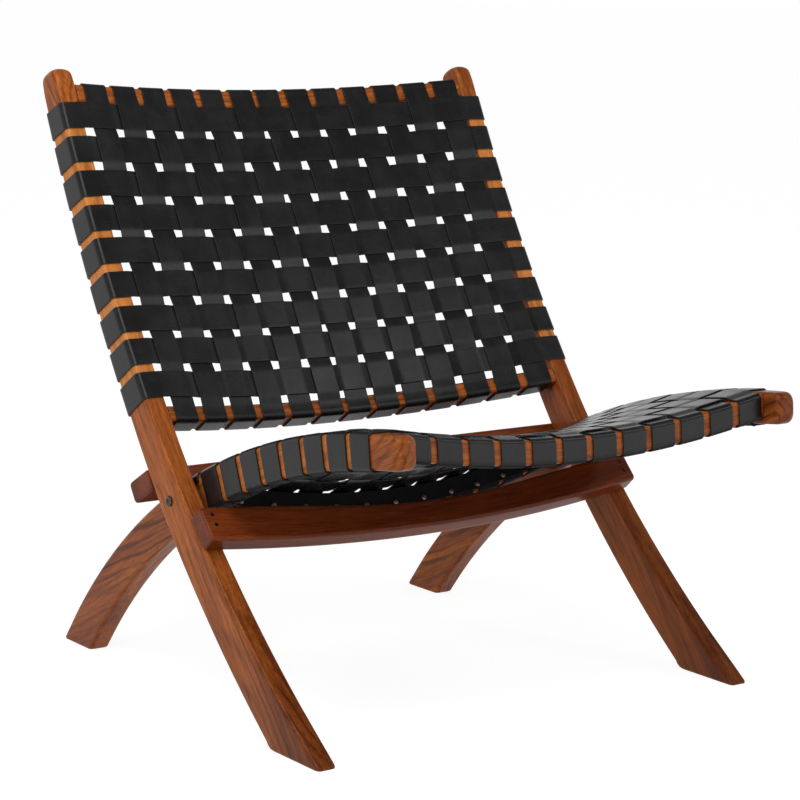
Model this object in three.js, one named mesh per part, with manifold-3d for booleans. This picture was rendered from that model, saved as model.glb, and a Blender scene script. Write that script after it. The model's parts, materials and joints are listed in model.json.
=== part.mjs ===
// Folding lounge chair: two curved timber frames that cross at a pair of pivot bolts,
// each frame carrying a plain weave of flat leather straps wrapped round its rails and sides.
// Millimetres, +Z up, the sitter looks along -Y, origin on the floor under the middle of the chair.
import * as THREE from 'three';
import Module from 'manifold-3d';
import { mergeVertices } from 'three/addons/utils/BufferGeometryUtils.js';

const wasm = await Module();
wasm.setup();

// Timber
const POST_OUTER_X = 300;
const BOARD_THICKNESS = 25;
const FRAME_GAP = 5.5;
const EDGE_RADIUS = 4;
const PIVOT_HEIGHT = 226.6;
const BEND_HALF_LENGTH = 55;

// Post: back upright above the pivot, front leg below it. Tilts are degrees from upright.
const POST_ABOVE_PIVOT = 529;
const POST_BELOW_PIVOT = 337;
const POST_TILT_TOP = 24.6;
const POST_TILT_BACK = 37;
const POST_TILT_LEG = 43;
const POST_TILT_FOOT = 54;
const POST_DEPTH_TOP = 34;
const POST_DEPTH_BACK = 44;
const POST_DEPTH_LEG = 48.5;
const POST_DEPTH_FOOT = 54;

// Seat side: seat bearer in front of the pivot, rear leg behind it. Slopes are degrees from level.
const SIDE_AHEAD_OF_PIVOT = 393;
const SIDE_BEHIND_PIVOT = 349;
const SIDE_SLOPE_TIP = 4.9;
const SIDE_SLOPE_SEAT = 24.9;
const SIDE_SLOPE_LEG = 31.8;
const SIDE_SLOPE_FOOT = 53.4;
const SIDE_DEPTH_TIP = 35;
const SIDE_DEPTH_SEAT = 41;
const SIDE_DEPTH_LEG = 45;
const SIDE_DEPTH_FOOT = 52;

// Rounded tips of the posts and of the seat sides: seen from the side, and from the front
const TIP_RADIUS = 11;
const TIP_SIDE_RADIUS = 8;
const TIP_STEPS = 4;

// Rails that carry the straps, and the bare stretchers
const BACK_RAIL_THICKNESS = 22;
const SEAT_RAIL_THICKNESS = 20;
const RAIL_DEPTH = 26;
const RAIL_SET_BACK = 1.6;
const BACK_BOW_TOP = 28;
const BACK_BOW_BOTTOM = 34;
const BACK_BOW_EASING = 13;
const SEAT_SAG_FRONT = 24;
const SEAT_SAG_REAR = 34;
const TOP_RAIL_FROM_POST_TOP = 21;
const BOTTOM_RAIL_ABOVE_PIVOT = 88;
const BOTTOM_RAIL_LEAN = 3;
const FRONT_RAIL_FROM_TIP = 25;
const FRONT_RAIL_LEAN = 6.5;
const REAR_RAIL_BEHIND_PIVOT = 14;
const REAR_RAIL_SET_BACK = 2;
const FRONT_STRETCHER_WIDTH = 35.5;
const FRONT_STRETCHER_THICKNESS = 24;
const FRONT_STRETCHER_BELOW_PIVOT = 39.5;
const FRONT_STRETCHER_BOW = 24;
const REAR_STRETCHER_WIDTH = 43;
const REAR_STRETCHER_THICKNESS = 25;

// Leather straps
const STRAP_WIDTH = 32;
const STRAP_THICKNESS = 2.2;
const BACK_ROW_GAP = 10.4;
const BACK_COLUMN_GAP = 9.7;
const SEAT_STRAP_GAP = 9;
const STRAP_TO_RAIL = 1;
const STRAP_TAIL_INSET = 5;
const STRAP_SLACK = 0.5;
const STRAP_END_DROP = 9;
const STRAP_END_FLAP = 9;

// Pivot hardware
const BOLT_RADIUS = 4;
const BOLT_HEAD_RADIUS = 5.8;
const BOLT_HEAD_HEIGHT = 2.4;
const SOCKET_RADIUS = 2.6;
const SOCKET_DEPTH = 1.6;
const SPACER_RADIUS = 9;
const BOLT_CLEARANCE = 0.5;

// Clearance between pieces that touch, and facet counts
const SEAT_CLEARANCE = 0.3;
const BOARD_STEP = 48;
const RAIL_SPANS = 10;
const CORNER_POINTS = 3;
const RAIL_CORNER_POINTS = 2;
const ROUND_SIDES = 12;
const HEX_SIDES = 6;

const POST_INNER_X = POST_OUTER_X - BOARD_THICKNESS;
const SIDE_OUTER_X = POST_INNER_X - FRAME_GAP;
const SIDE_INNER_X = SIDE_OUTER_X - BOARD_THICKNESS;
const STRAP_LIFT = SEAT_CLEARANCE + STRAP_THICKNESS / 2;
const WEAVE_RISE = (STRAP_THICKNESS + SEAT_CLEARANCE) / 2;
const WRAP_RADIUS = EDGE_RADIUS + STRAP_LIFT;

const teak = new THREE.MeshStandardMaterial({ color: 0x93501f, roughness: 0.42, metalness: 0 });
const darkTeak = new THREE.MeshStandardMaterial({ color: 0x6b3416, roughness: 0.38, metalness: 0 });
const leather = new THREE.MeshStandardMaterial({ color: 0x1b1b1d, roughness: 0.48, metalness: 0 });
const steel = new THREE.MeshStandardMaterial({ color: 0x3a342e, roughness: 0.4, metalness: 0.9 });

// A curved board seen from the side. Positions along it are measured from the pivot on its
// centre line; heading is degrees from +Y towards +Z, and its outer face lies to the left.
class BoardLine {
  constructor(knots) {
    this.knots = knots;
  }

  blend(along, key) {
    const last = this.knots.length - 1;
    const held = THREE.MathUtils.clamp(along, this.knots[0].at, this.knots[last].at);
    const next = Math.max(1, this.knots.findIndex((knot) => knot.at >= held));
    const a = this.knots[next - 1];
    const b = this.knots[next];
    return THREE.MathUtils.mapLinear(held, a.at, b.at, a[key], b[key]);
  }

  heading(along) {
    return THREE.MathUtils.degToRad(this.blend(along, 'heading'));
  }

  depth(along) {
    return this.blend(along, 'depth');
  }

  // Point on the centre line, from the heading integrated by Simpson's rule over each stretch.
  centre(along) {
    const between = (at) => at * along > 0 && Math.abs(at) < Math.abs(along);
    const stops = this.knots.map((knot) => knot.at).filter(between);
    stops.sort((a, b) => Math.abs(a) - Math.abs(b));
    stops.push(along);
    const point = new THREE.Vector2();
    let from = 0;
    for (const to of stops) {
      const headings = [from, (from + to) / 2, to].map((at) => this.heading(at));
      const share = (to - from) / 6;
      point.x += share * (Math.cos(headings[0]) + 4 * Math.cos(headings[1]) + Math.cos(headings[2]));
      point.y += share * (Math.sin(headings[0]) + 4 * Math.sin(headings[1]) + Math.sin(headings[2]));
      from = to;
    }
    return point;
  }

  // Point at a level above the outer face; negative levels go into the board.
  place(x, along, level) {
    const centre = this.centre(along);
    const normal = this.heading(along) + Math.PI / 2;
    const rise = this.depth(along) / 2 + level;
    return new THREE.Vector3(x, centre.x + rise * Math.cos(normal), centre.y + rise * Math.sin(normal));
  }

  // Distance along the board at which its centre line meets the floor.
  floorAt(end) {
    let inside = 0;
    let outside = end * 1.5;
    for (let step = 0; step < 50; step += 1) {
      const middle = (inside + outside) / 2;
      if (this.centre(middle).y > -PIVOT_HEIGHT) inside = middle;
      else outside = middle;
    }
    return inside;
  }
}

const post = new BoardLine([
  { at: -POST_BELOW_PIVOT, heading: 90 - POST_TILT_FOOT, depth: POST_DEPTH_FOOT },
  { at: -BEND_HALF_LENGTH, heading: 90 - POST_TILT_LEG, depth: POST_DEPTH_LEG },
  { at: BEND_HALF_LENGTH, heading: 90 - POST_TILT_BACK, depth: POST_DEPTH_BACK },
  { at: POST_ABOVE_PIVOT, heading: 90 - POST_TILT_TOP, depth: POST_DEPTH_TOP },
]);
const seatSide = new BoardLine([
  { at: -SIDE_AHEAD_OF_PIVOT, heading: -SIDE_SLOPE_TIP, depth: SIDE_DEPTH_TIP },
  { at: -BEND_HALF_LENGTH, heading: -SIDE_SLOPE_SEAT, depth: SIDE_DEPTH_SEAT },
  { at: BEND_HALF_LENGTH, heading: -SIDE_SLOPE_LEG, depth: SIDE_DEPTH_LEG },
  { at: SIDE_BEHIND_PIVOT, heading: -SIDE_SLOPE_FOOT, depth: SIDE_DEPTH_FOOT },
]);

// Share of a bow or sag at a place across the chair: full in the middle, none at the given half width.
function bowShare(x, half) {
  return Math.max(0, 1 - (x / half) ** 2);
}

// Closed solid skinned over rings of equal point count, with flat ends and faces turned outwards.
// Each four-sided facet is split along its shorter diagonal.
function loft(rings) {
  const count = rings[0].length;
  const points = rings.flat();
  const positions = points.flatMap((point) => point.toArray());
  const apart = (a, b) => points[a].distanceTo(points[b]);
  const faces = [];
  for (let ring = 0; ring + 1 < rings.length; ring += 1) {
    for (let i = 0; i < count; i += 1) {
      const a = ring * count + i;
      const b = ring * count + ((i + 1) % count);
      const [c, d] = [b + count, a + count];
      if (apart(a, c) < apart(b, d)) faces.push([a, b, c], [a, c, d]);
      else faces.push([a, b, d], [b, c, d]);
    }
  }
  const lastRing = (rings.length - 1) * count;
  for (let i = 1; i + 1 < count; i += 1) {
    faces.push([0, i + 1, i], [lastRing, lastRing + i, lastRing + i + 1]);
  }
  const corner = (index) => points[index].clone();
  const volume = faces.reduce((sum, [a, b, c]) => sum + corner(a).dot(corner(b).cross(corner(c))), 0);
  const turned = volume > 0 ? faces : faces.map(([a, b, c]) => [a, c, b]);
  const geometry = new THREE.BufferGeometry();
  geometry.setAttribute('position', new THREE.Float32BufferAttribute(positions, 3));
  geometry.setIndex(turned.flat());
  return geometry;
}

// Rectangle with rounded corners as a ring of 2D points.
function roundedRectangle(x0, x1, y0, y1, radius, points = CORNER_POINTS) {
  const centres = [
    [x1 - radius, y1 - radius, 0],
    [x0 + radius, y1 - radius, 90],
    [x0 + radius, y0 + radius, 180],
    [x1 - radius, y0 + radius, 270],
  ];
  return centres.flatMap(([cx, cy, start]) =>
    Array.from({ length: points }, (_, i) => {
      const angle = THREE.MathUtils.degToRad(start + (90 * i) / (points - 1));
      return new THREE.Vector2(cx + radius * Math.cos(angle), cy + radius * Math.sin(angle));
    }),
  );
}

function toSolid(geometry) {
  const bare = geometry.clone();
  for (const name of ['normal', 'uv']) bare.deleteAttribute(name);
  const merged = mergeVertices(bare, 1e-4);
  const vertProperties = new Float32Array(merged.attributes.position.array);
  const triVerts = new Uint32Array(merged.index.array);
  return new wasm.Manifold(new wasm.Mesh({ numProp: 3, vertProperties, triVerts }));
}

function toGeometry(solid) {
  const mesh = solid.getMesh();
  const geometry = new THREE.BufferGeometry();
  geometry.setAttribute('position', new THREE.Float32BufferAttribute(mesh.vertProperties, 3));
  geometry.setIndex(Array.from(mesh.triVerts));
  return geometry;
}

function piece(name, geometry, material) {
  geometry.computeVertexNormals();
  const mesh = new THREE.Mesh(geometry, material);
  mesh.name = name;
  return mesh;
}

// Cylinder along X on the pivot axis
function axleCylinder(radius, x0, x1, sides) {
  const cylinder = new THREE.CylinderGeometry(radius, radius, Math.abs(x1 - x0), sides);
  cylinder.rotateZ(Math.PI / 2);
  cylinder.translate((x0 + x1) / 2, 0, 0);
  return cylinder;
}

// How far a rounded tip draws in its faces at a distance from its end.
function roundInset(toEnd, radius) {
  const short = Math.max(0, radius - toEnd);
  return radius - Math.sqrt(radius ** 2 - short ** 2);
}

// Frame board from its sawn foot to its rounded tip, bored for the pivot bolt.
function frameBoard(line, foot, end, x0, x1) {
  const turn = Math.sign(end - foot);
  const tipStart = end - turn * TIP_RADIUS;
  const spans = Math.ceil(Math.abs(tipStart - foot) / BOARD_STEP);
  const stations = Array.from({ length: spans }, (_, i) => foot + ((tipStart - foot) * i) / spans);
  for (let i = 0; i <= TIP_STEPS; i += 1) {
    stations.push(tipStart + turn * TIP_RADIUS * Math.sin((Math.PI / 2) * (i / TIP_STEPS)));
  }
  const rings = stations.map((along, index) => {
    const depth = line.depth(along);
    const toEnd = Math.abs(end - along);
    const inset = roundInset(toEnd, TIP_RADIUS);
    const sideInset = roundInset(toEnd, TIP_SIDE_RADIUS);
    const radius = Math.min(EDGE_RADIUS + sideInset, BOARD_THICKNESS / 2 - sideInset);
    const section = roundedRectangle(x0 + sideInset, x1 - sideInset, inset - depth, -inset, radius);
    return section.map((corner) => {
      const point = line.place(corner.x, along, corner.y);
      if (index === 0) {
        const slope = line.heading(along);
        const slide = (-PIVOT_HEIGHT - point.z) / Math.sin(slope);
        point.y += slide * Math.cos(slope);
        point.z = -PIVOT_HEIGHT;
      }
      return point;
    });
  });
  const bore = axleCylinder(BOLT_RADIUS + BOLT_CLEARANCE, x0 - EDGE_RADIUS, x1 + EDGE_RADIUS, ROUND_SIDES);
  return toGeometry(toSolid(loft(rings)).subtract(toSolid(bore)));
}

// Board across the chair: a rounded section set out along and above a frame board,
// shifted along and across that board by the two bows.
function crossBoard(line, half, section, bowAlong = 0, bowLevel = 0) {
  const spans = bowAlong || bowLevel ? RAIL_SPANS : 1;
  const rings = Array.from({ length: spans + 1 }, (_, i) => {
    const x = half * ((2 * i) / spans - 1);
    const share = bowShare(x, half);
    return section.map((corner) => line.place(x, corner.x + bowAlong * share, corner.y + bowLevel * share));
  });
  return loft(rings);
}

// Rail between two frame boards, its strap face set back from their outer faces.
function strapRail(line, half, rail, bowAt) {
  const { from, to, face, lean } = rail;
  const section = roundedRectangle(from, to, face - RAIL_DEPTH, face, EDGE_RADIUS, RAIL_CORNER_POINTS);
  return crossBoard(line, half - SEAT_CLEARANCE, section, lean, -bowAt((from + to) / 2));
}

const topRailEnd = POST_ABOVE_PIVOT - TOP_RAIL_FROM_POST_TOP;
const frontRailEnd = -SIDE_AHEAD_OF_PIVOT + FRONT_RAIL_FROM_TIP;
const topRail = { from: topRailEnd - BACK_RAIL_THICKNESS, to: topRailEnd, face: -RAIL_SET_BACK, lean: 0 };
const bottomRail = {
  from: BOTTOM_RAIL_ABOVE_PIVOT,
  to: BOTTOM_RAIL_ABOVE_PIVOT + BACK_RAIL_THICKNESS,
  face: -RAIL_SET_BACK,
  lean: BOTTOM_RAIL_LEAN,
};
const frontRail = {
  from: frontRailEnd,
  to: frontRailEnd + SEAT_RAIL_THICKNESS,
  face: -RAIL_SET_BACK,
  lean: FRONT_RAIL_LEAN,
};
const rearRail = {
  from: REAR_RAIL_BEHIND_PIVOT,
  to: REAR_RAIL_BEHIND_PIVOT + SEAT_RAIL_THICKNESS,
  face: -REAR_RAIL_SET_BACK,
  lean: 0,
};

// Depth of a panel's hollow along its boards: it changes evenly from one rail to the other, less an easing
// that is greatest half way, where taut rows draw the panel out of its hollow.
function bowBetween(from, to, first, last, easing = 0) {
  return (along) => {
    const share = THREE.MathUtils.clamp((along - from) / (to - from), 0, 1);
    return THREE.MathUtils.lerp(first, last, share) - 4 * easing * share * (1 - share);
  };
}

const backBowAt = bowBetween(bottomRail.to, topRail.from, BACK_BOW_BOTTOM, BACK_BOW_TOP, BACK_BOW_EASING);
const seatSagAt = bowBetween(frontRail.to, rearRail.from, SEAT_SAG_FRONT, SEAT_SAG_REAR);

function frontStretcher() {
  const top = -FRONT_STRETCHER_BELOW_PIVOT;
  const face = SEAT_CLEARANCE + FRONT_STRETCHER_THICKNESS;
  const section = roundedRectangle(top - FRONT_STRETCHER_WIDTH, top, SEAT_CLEARANCE, face, EDGE_RADIUS);
  return crossBoard(post, POST_OUTER_X, section, -FRONT_STRETCHER_BOW);
}

// How far a point lies behind the rear face of the posts
function behindPost(point) {
  let low = -POST_BELOW_PIVOT;
  let high = POST_ABOVE_PIVOT;
  for (let step = 0; step < 50; step += 1) {
    const along = (low + high) / 2;
    const centre = post.centre(along);
    const heading = post.heading(along);
    const ahead = (point.y - centre.x) * Math.cos(heading) + (point.z - centre.y) * Math.sin(heading);
    if (ahead > 0) low = along;
    else high = along;
  }
  const face = post.place(0, low, -post.depth(low));
  const normal = post.heading(low) + Math.PI / 2;
  return -(point.y - face.y) * Math.cos(normal) - (point.z - face.z) * Math.sin(normal);
}

// The rear stretcher lies on the seat sides with its front edge against the posts: it stops the chair open.
function rearStretcherStart() {
  const top = SEAT_CLEARANCE + REAR_STRETCHER_THICKNESS;
  const reach = (along) => {
    const section = roundedRectangle(along, along + REAR_STRETCHER_WIDTH, SEAT_CLEARANCE, top, EDGE_RADIUS);
    return Math.min(...section.map((corner) => behindPost(seatSide.place(0, corner.x, corner.y))));
  };
  let near = 0;
  let far = SIDE_BEHIND_PIVOT - REAR_STRETCHER_WIDTH;
  for (let step = 0; step < 40; step += 1) {
    const middle = (near + far) / 2;
    if (reach(middle) < SEAT_CLEARANCE) near = middle;
    else far = middle;
  }
  return far;
}

function rearStretcher() {
  const start = rearStretcherStart();
  const top = SEAT_CLEARANCE + REAR_STRETCHER_THICKNESS;
  const section = roundedRectangle(start, start + REAR_STRETCHER_WIDTH, SEAT_CLEARANCE, top, EDGE_RADIUS);
  return crossBoard(seatSide, POST_OUTER_X, section);
}

// Two path corners that lead a strap round a quarter of a timber edge.
function quarterWrap(cx, cy, startAngle, turn) {
  const reach = WRAP_RADIUS / Math.cos(Math.PI / 8);
  return [1, 3].map((eighth) => {
    const angle = THREE.MathUtils.degToRad(startAngle) + (turn * eighth * Math.PI) / 8;
    return new THREE.Vector2(cx + reach * Math.cos(angle), cy + reach * Math.sin(angle));
  });
}

// Path of a strap over one timber: down its far edge and under it to a turn or a tail at the given place.
function wrapOver(sign, edge, face, depth, under) {
  const inner = edge - sign * EDGE_RADIUS;
  return [
    ...quarterWrap(inner, face - EDGE_RADIUS, 90, -sign),
    ...quarterWrap(inner, face - depth + EDGE_RADIUS, 90 - sign * 90, -sign),
    new THREE.Vector2(under, face - depth - STRAP_LIFT),
  ];
}

// Both faces of a strap as paths, mitred at each corner.
function strapFaces(path) {
  const normals = path.slice(1).map((point, i) => {
    const run = point.clone().sub(path[i]).normalize();
    return new THREE.Vector2(-run.y, run.x);
  });
  const mitres = path.map((_, i) => {
    const before = normals[Math.max(0, i - 1)];
    const after = normals[Math.min(i, normals.length - 1)];
    const mitre = before.clone().add(after).normalize();
    return mitre.multiplyScalar(STRAP_THICKNESS / 2 / mitre.dot(before));
  });
  return [1, -1].map((hand) => path.map((point, i) => point.clone().addScaledVector(mitres[i], hand)));
}

// Strap skinned between its two long edges; each edge has its own path and its own way into space.
function strap(edges) {
  const faces = edges.map(({ path, toSpace }) => strapFaces(path).map((line) => line.map(toSpace)));
  const [near, far] = faces;
  return loft(near[0].map((_, i) => [near[0][i], near[1][i], far[1][i], far[0][i]]));
}

// Centres of as many straps as fit between two limits, from the first limit on or centred.
function strapCentres(from, to, gap, centred) {
  const pitch = STRAP_WIDTH + gap;
  const count = Math.max(1, Math.floor((to - from + gap) / pitch));
  const spare = centred ? (to - from + gap - count * pitch) / 2 : 0;
  return Array.from({ length: count }, (_, i) => from + spare + STRAP_WIDTH / 2 + i * pitch);
}

// Height of a weave crossing above the outer face: over and under by turns.
function crossingLevel(row, column, rowStrap) {
  const rowOver = (row + column) % 2 === 0;
  return STRAP_LIFT + (rowOver === rowStrap ? WEAVE_RISE : -WEAVE_RISE);
}

// Strap across the chair: woven over the columns, wrapped round the board on each side.
function rowStrap(panel, row) {
  const { line, half, outer, bowAt, rows, columns } = panel;
  const centre = rows[row];
  const edges = [-1, 1].map((hand) => {
    const along = centre + (hand * STRAP_WIDTH) / 2;
    const depth = line.depth(along);
    const ends = [-1, 1].map((sign) => {
      const lip = new THREE.Vector2(sign * half, STRAP_LIFT);
      const flap = panel.flapRow === row;
      const tail = sign * (half + STRAP_TAIL_INSET);
      const wrap = wrapOver(sign, sign * outer, 0, depth + STRAP_SLACK, tail);
      if (flap) wrap.splice(2, 3, new THREE.Vector2(sign * (outer + STRAP_LIFT), -STRAP_END_FLAP));
      return [lip, ...wrap];
    });
    const woven = columns.flatMap((x, column) =>
      [-1, 1].map((flank) => {
        const at = x + (flank * STRAP_WIDTH) / 2;
        return new THREE.Vector2(at, crossingLevel(row, column, true) - bowAt(along) * bowShare(at, half));
      }),
    );
    const path = [...ends[0].reverse(), ...woven, ...ends[1]];
    return { path, toSpace: (point) => line.place(point.x, along, point.y) };
  });
  return strap(edges);
}

// Strap along the chair: woven over the rows, wrapped right round the rail at each end.
function columnStrap(panel, column) {
  const { line, half, bowAt, rows, columns, rails } = panel;
  const edges = [-1, 1].map((hand) => {
    const x = columns[column] + (hand * STRAP_WIDTH) / 2;
    const share = bowShare(x, half);
    const ends = rails.map((rail, i) => {
      const sign = i === 0 ? -1 : 1;
      const [near, far] = sign < 0 ? [rail.to, rail.from] : [rail.from, rail.to];
      const shift = rail.lean * share;
      const turn = near + shift - sign * STRAP_LIFT;
      const face = rail.face - bowAt((near + far) / 2) * share;
      const wrap = wrapOver(sign, far + shift, face, RAIL_DEPTH, turn);
      return [...wrap, new THREE.Vector2(turn, face - STRAP_END_DROP)];
    });
    const woven = rows.flatMap((along, row) =>
      [-1, 1].map((flank) => {
        const at = along + (flank * STRAP_WIDTH) / 2;
        return new THREE.Vector2(at, crossingLevel(row, column, false) - bowAt(at) * share);
      }),
    );
    const path = [...ends[0].reverse(), ...woven, ...ends[1]];
    return { path, toSpace: (point) => line.place(x, point.x, point.y) };
  });
  return strap(edges);
}

const backRows = strapCentres(
  -topRail.from + STRAP_TO_RAIL, -bottomRail.to, BACK_ROW_GAP, false,
).map((along) => -along).reverse();
const backPanel = {
  line: post,
  half: POST_INNER_X,
  outer: POST_OUTER_X,
  bowAt: backBowAt,
  rows: backRows,
  columns: strapCentres(-POST_INNER_X, POST_INNER_X, BACK_COLUMN_GAP, true),
  rails: [bottomRail, topRail],
};
const seatRows = strapCentres(frontRail.to + STRAP_TO_RAIL, rearRail.from, SEAT_STRAP_GAP, false);
const seatPanel = {
  line: seatSide,
  half: SIDE_INNER_X,
  outer: SIDE_OUTER_X,
  bowAt: seatSagAt,
  rows: seatRows,
  columns: strapCentres(-SIDE_INNER_X, SIDE_INNER_X, SEAT_STRAP_GAP, true),
  rails: [frontRail, rearRail],
  flapRow: seatRows.length - 1,
};

// Pivot bolt through a post, its spacer and a seat side, headed at both ends, with a hexagon socket outside.
function pivotBolt(sign) {
  const outside = POST_OUTER_X + SEAT_CLEARANCE;
  const inside = SIDE_INNER_X - SEAT_CLEARANCE;
  const span = (radius, x0, x1, sides) => toSolid(axleCylinder(radius, sign * x0, sign * x1, sides));
  const shank = span(BOLT_RADIUS, inside - BOLT_HEAD_HEIGHT / 2, outside + BOLT_HEAD_HEIGHT / 2, ROUND_SIDES);
  const head = span(BOLT_HEAD_RADIUS, outside, outside + BOLT_HEAD_HEIGHT, ROUND_SIDES);
  const nut = span(BOLT_HEAD_RADIUS, inside - BOLT_HEAD_HEIGHT, inside, ROUND_SIDES);
  const socketFloor = outside + BOLT_HEAD_HEIGHT - SOCKET_DEPTH;
  const socket = span(SOCKET_RADIUS, socketFloor, outside + BOLT_HEAD_HEIGHT * 2, HEX_SIDES);
  return toGeometry(shank.add(head).add(nut).subtract(socket));
}

function pivotSpacer(sign) {
  const x0 = sign * (SIDE_OUTER_X + SEAT_CLEARANCE);
  const x1 = sign * (POST_INNER_X - SEAT_CLEARANCE);
  const reach = sign * FRAME_GAP;
  const ring = toSolid(axleCylinder(SPACER_RADIUS, x0, x1, ROUND_SIDES));
  const bore = axleCylinder(BOLT_RADIUS + BOLT_CLEARANCE, x0 - reach, x1 + reach, ROUND_SIDES);
  return toGeometry(ring.subtract(toSolid(bore)));
}

function backFrame() {
  const group = new THREE.Group();
  const foot = post.floorAt(-POST_BELOW_PIVOT);
  for (const [hand, sign] of [['left', -1], ['right', 1]]) {
    const xs = [sign * POST_INNER_X, sign * POST_OUTER_X].sort((a, b) => a - b);
    group.add(piece(`${hand}_post`, frameBoard(post, foot, POST_ABOVE_PIVOT, ...xs), teak));
    group.add(piece(`${hand}_pivot_bolt`, pivotBolt(sign), steel));
    group.add(piece(`${hand}_pivot_spacer`, pivotSpacer(sign), steel));
  }
  group.add(piece('back_top_rail', strapRail(post, POST_INNER_X, topRail, backBowAt), teak));
  group.add(piece('back_bottom_rail', strapRail(post, POST_INNER_X, bottomRail, backBowAt), teak));
  group.add(piece('front_stretcher', frontStretcher(), darkTeak));
  backPanel.rows.forEach((_, row) => {
    group.add(piece(`back_cross_strap_${row + 1}`, rowStrap(backPanel, row), leather));
  });
  backPanel.columns.forEach((_, column) => {
    group.add(piece(`back_upright_strap_${column + 1}`, columnStrap(backPanel, column), leather));
  });
  return group;
}

function seatFrame() {
  const group = new THREE.Group();
  const foot = seatSide.floorAt(SIDE_BEHIND_PIVOT);
  for (const [hand, sign] of [['left', -1], ['right', 1]]) {
    const xs = [sign * SIDE_INNER_X, sign * SIDE_OUTER_X].sort((a, b) => a - b);
    group.add(piece(`${hand}_seat_side`, frameBoard(seatSide, foot, -SIDE_AHEAD_OF_PIVOT, ...xs), teak));
  }
  group.add(piece('seat_front_rail', strapRail(seatSide, SIDE_INNER_X, frontRail, seatSagAt), teak));
  group.add(piece('seat_rear_rail', strapRail(seatSide, SIDE_INNER_X, rearRail, seatSagAt), teak));
  group.add(piece('rear_stretcher', rearStretcher(), darkTeak));
  seatPanel.rows.forEach((_, row) => {
    group.add(piece(`seat_cross_strap_${row + 1}`, rowStrap(seatPanel, row), leather));
  });
  seatPanel.columns.forEach((_, column) => {
    group.add(piece(`seat_long_strap_${column + 1}`, columnStrap(seatPanel, column), leather));
  });
  return group;
}

const chair = new THREE.Group();
chair.add(backFrame(), seatFrame());
const box = new THREE.Box3().setFromObject(chair);
chair.position.set(0, -(box.min.y + box.max.y) / 2, PIVOT_HEIGHT);

export default chair;
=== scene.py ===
import json
import math

import bpy
import numpy as np
from mathutils import Matrix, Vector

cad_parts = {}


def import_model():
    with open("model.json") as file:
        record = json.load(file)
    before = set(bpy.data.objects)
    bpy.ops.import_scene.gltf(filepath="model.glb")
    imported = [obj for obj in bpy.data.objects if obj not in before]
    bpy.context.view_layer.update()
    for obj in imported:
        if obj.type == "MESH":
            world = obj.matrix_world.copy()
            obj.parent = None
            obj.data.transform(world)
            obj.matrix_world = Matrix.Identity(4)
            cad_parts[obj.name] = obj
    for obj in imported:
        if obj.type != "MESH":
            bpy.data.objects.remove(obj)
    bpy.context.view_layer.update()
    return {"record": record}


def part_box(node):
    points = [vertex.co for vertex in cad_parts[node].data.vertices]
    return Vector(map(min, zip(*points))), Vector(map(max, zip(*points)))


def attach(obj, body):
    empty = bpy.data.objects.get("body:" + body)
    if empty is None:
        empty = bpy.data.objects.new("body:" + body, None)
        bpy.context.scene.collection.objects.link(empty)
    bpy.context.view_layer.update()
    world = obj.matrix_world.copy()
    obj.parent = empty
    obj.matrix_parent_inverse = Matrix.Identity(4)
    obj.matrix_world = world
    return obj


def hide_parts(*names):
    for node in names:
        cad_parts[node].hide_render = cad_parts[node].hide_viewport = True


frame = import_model()

MM = 0.001
PIVOT_Y, PIVOT_Z = frame["record"]["behaviour"]["joints"][0]["pos_m"][1:]
draw = np.random.default_rng(17)

# Timber
POST_OUTER_X = 300 * MM
BOARD_THICKNESS = 25 * MM
FRAME_GAP = 5.5 * MM
EDGE_RADIUS = 4 * MM
POST_TOP = 529 * MM
SIDE_TIP = -393 * MM
TIP_RADIUS = 11 * MM
TIP_SIDE_RADIUS = 8 * MM
TIP_CORNER_RADIUS = 9 * MM
TIP_TAPER = 26 * MM
TIP_ROUNDING_POWER = 1.5
TOE_EASE = 1.8 * MM
TOE_EASE_HEIGHT = 4.5 * MM
FOOT_EASE = 1.2 * MM
FOOT_EASE_HEIGHT = 2.0 * MM
FOOT_LEVELS = np.array([0, 0.4, 0.9, 1.5, 2.2, 3.2, 4.5]) * MM
FOOT_CLEAR = 8 * MM
INNER_FACE_BAND = 1 * MM
RAIL_DEPTH = 26 * MM
RAIL_END_RADIUS = 1 * MM
BACK_BOW_TOP = 28 * MM
BACK_BOW_BOTTOM = 34 * MM
BACK_BOW_EASING = 13 * MM
SEAT_SAG_FRONT = 24 * MM
SEAT_SAG_REAR = 34 * MM
FRONT_STRETCHER_TOP = -39.5 * MM
FRONT_STRETCHER_WIDTH = 35.5 * MM
FRONT_STRETCHER_THICKNESS = 24 * MM
FRONT_STRETCHER_BOW = -24 * MM
FRONT_STRETCHER_FLARE = 3 * MM
FRONT_STRETCHER_TILT = 2.5 * MM
FRONT_STRETCHER_DIP = 2 * MM
LOWER_FLARE_SHARE = 0.5
UPPER_BELL_SHARE = 0.7
REAR_STRETCHER_WIDTH = 43 * MM
REAR_STRETCHER_THICKNESS = 25 * MM
REAR_STRETCHER_SEARCH = 0.02, 0.2, 0.1 * MM
STRETCHER_END_RADIUS = 2.5 * MM

# Painted light and shade in the side boards' colour along them: darker towards the front feet (partly
# painted shade of the seat) and the tips; paler where the straps cross, partly painted light, partly paler
# wood
POST_PAINTED_LIGHT_AND_SHADE = np.array((-337, -230, -80, 60, 120, 130, 478, 484)) * MM, (-0.75, -0.3, -0.05, 0, 0, 1, 1, 0)
SIDE_PAINTED_LIGHT_AND_SHADE = np.array((-355, -345, -338, 0, 8)) * MM, (-0.28, -0.15, 0.35, 0.35, 0)

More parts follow.
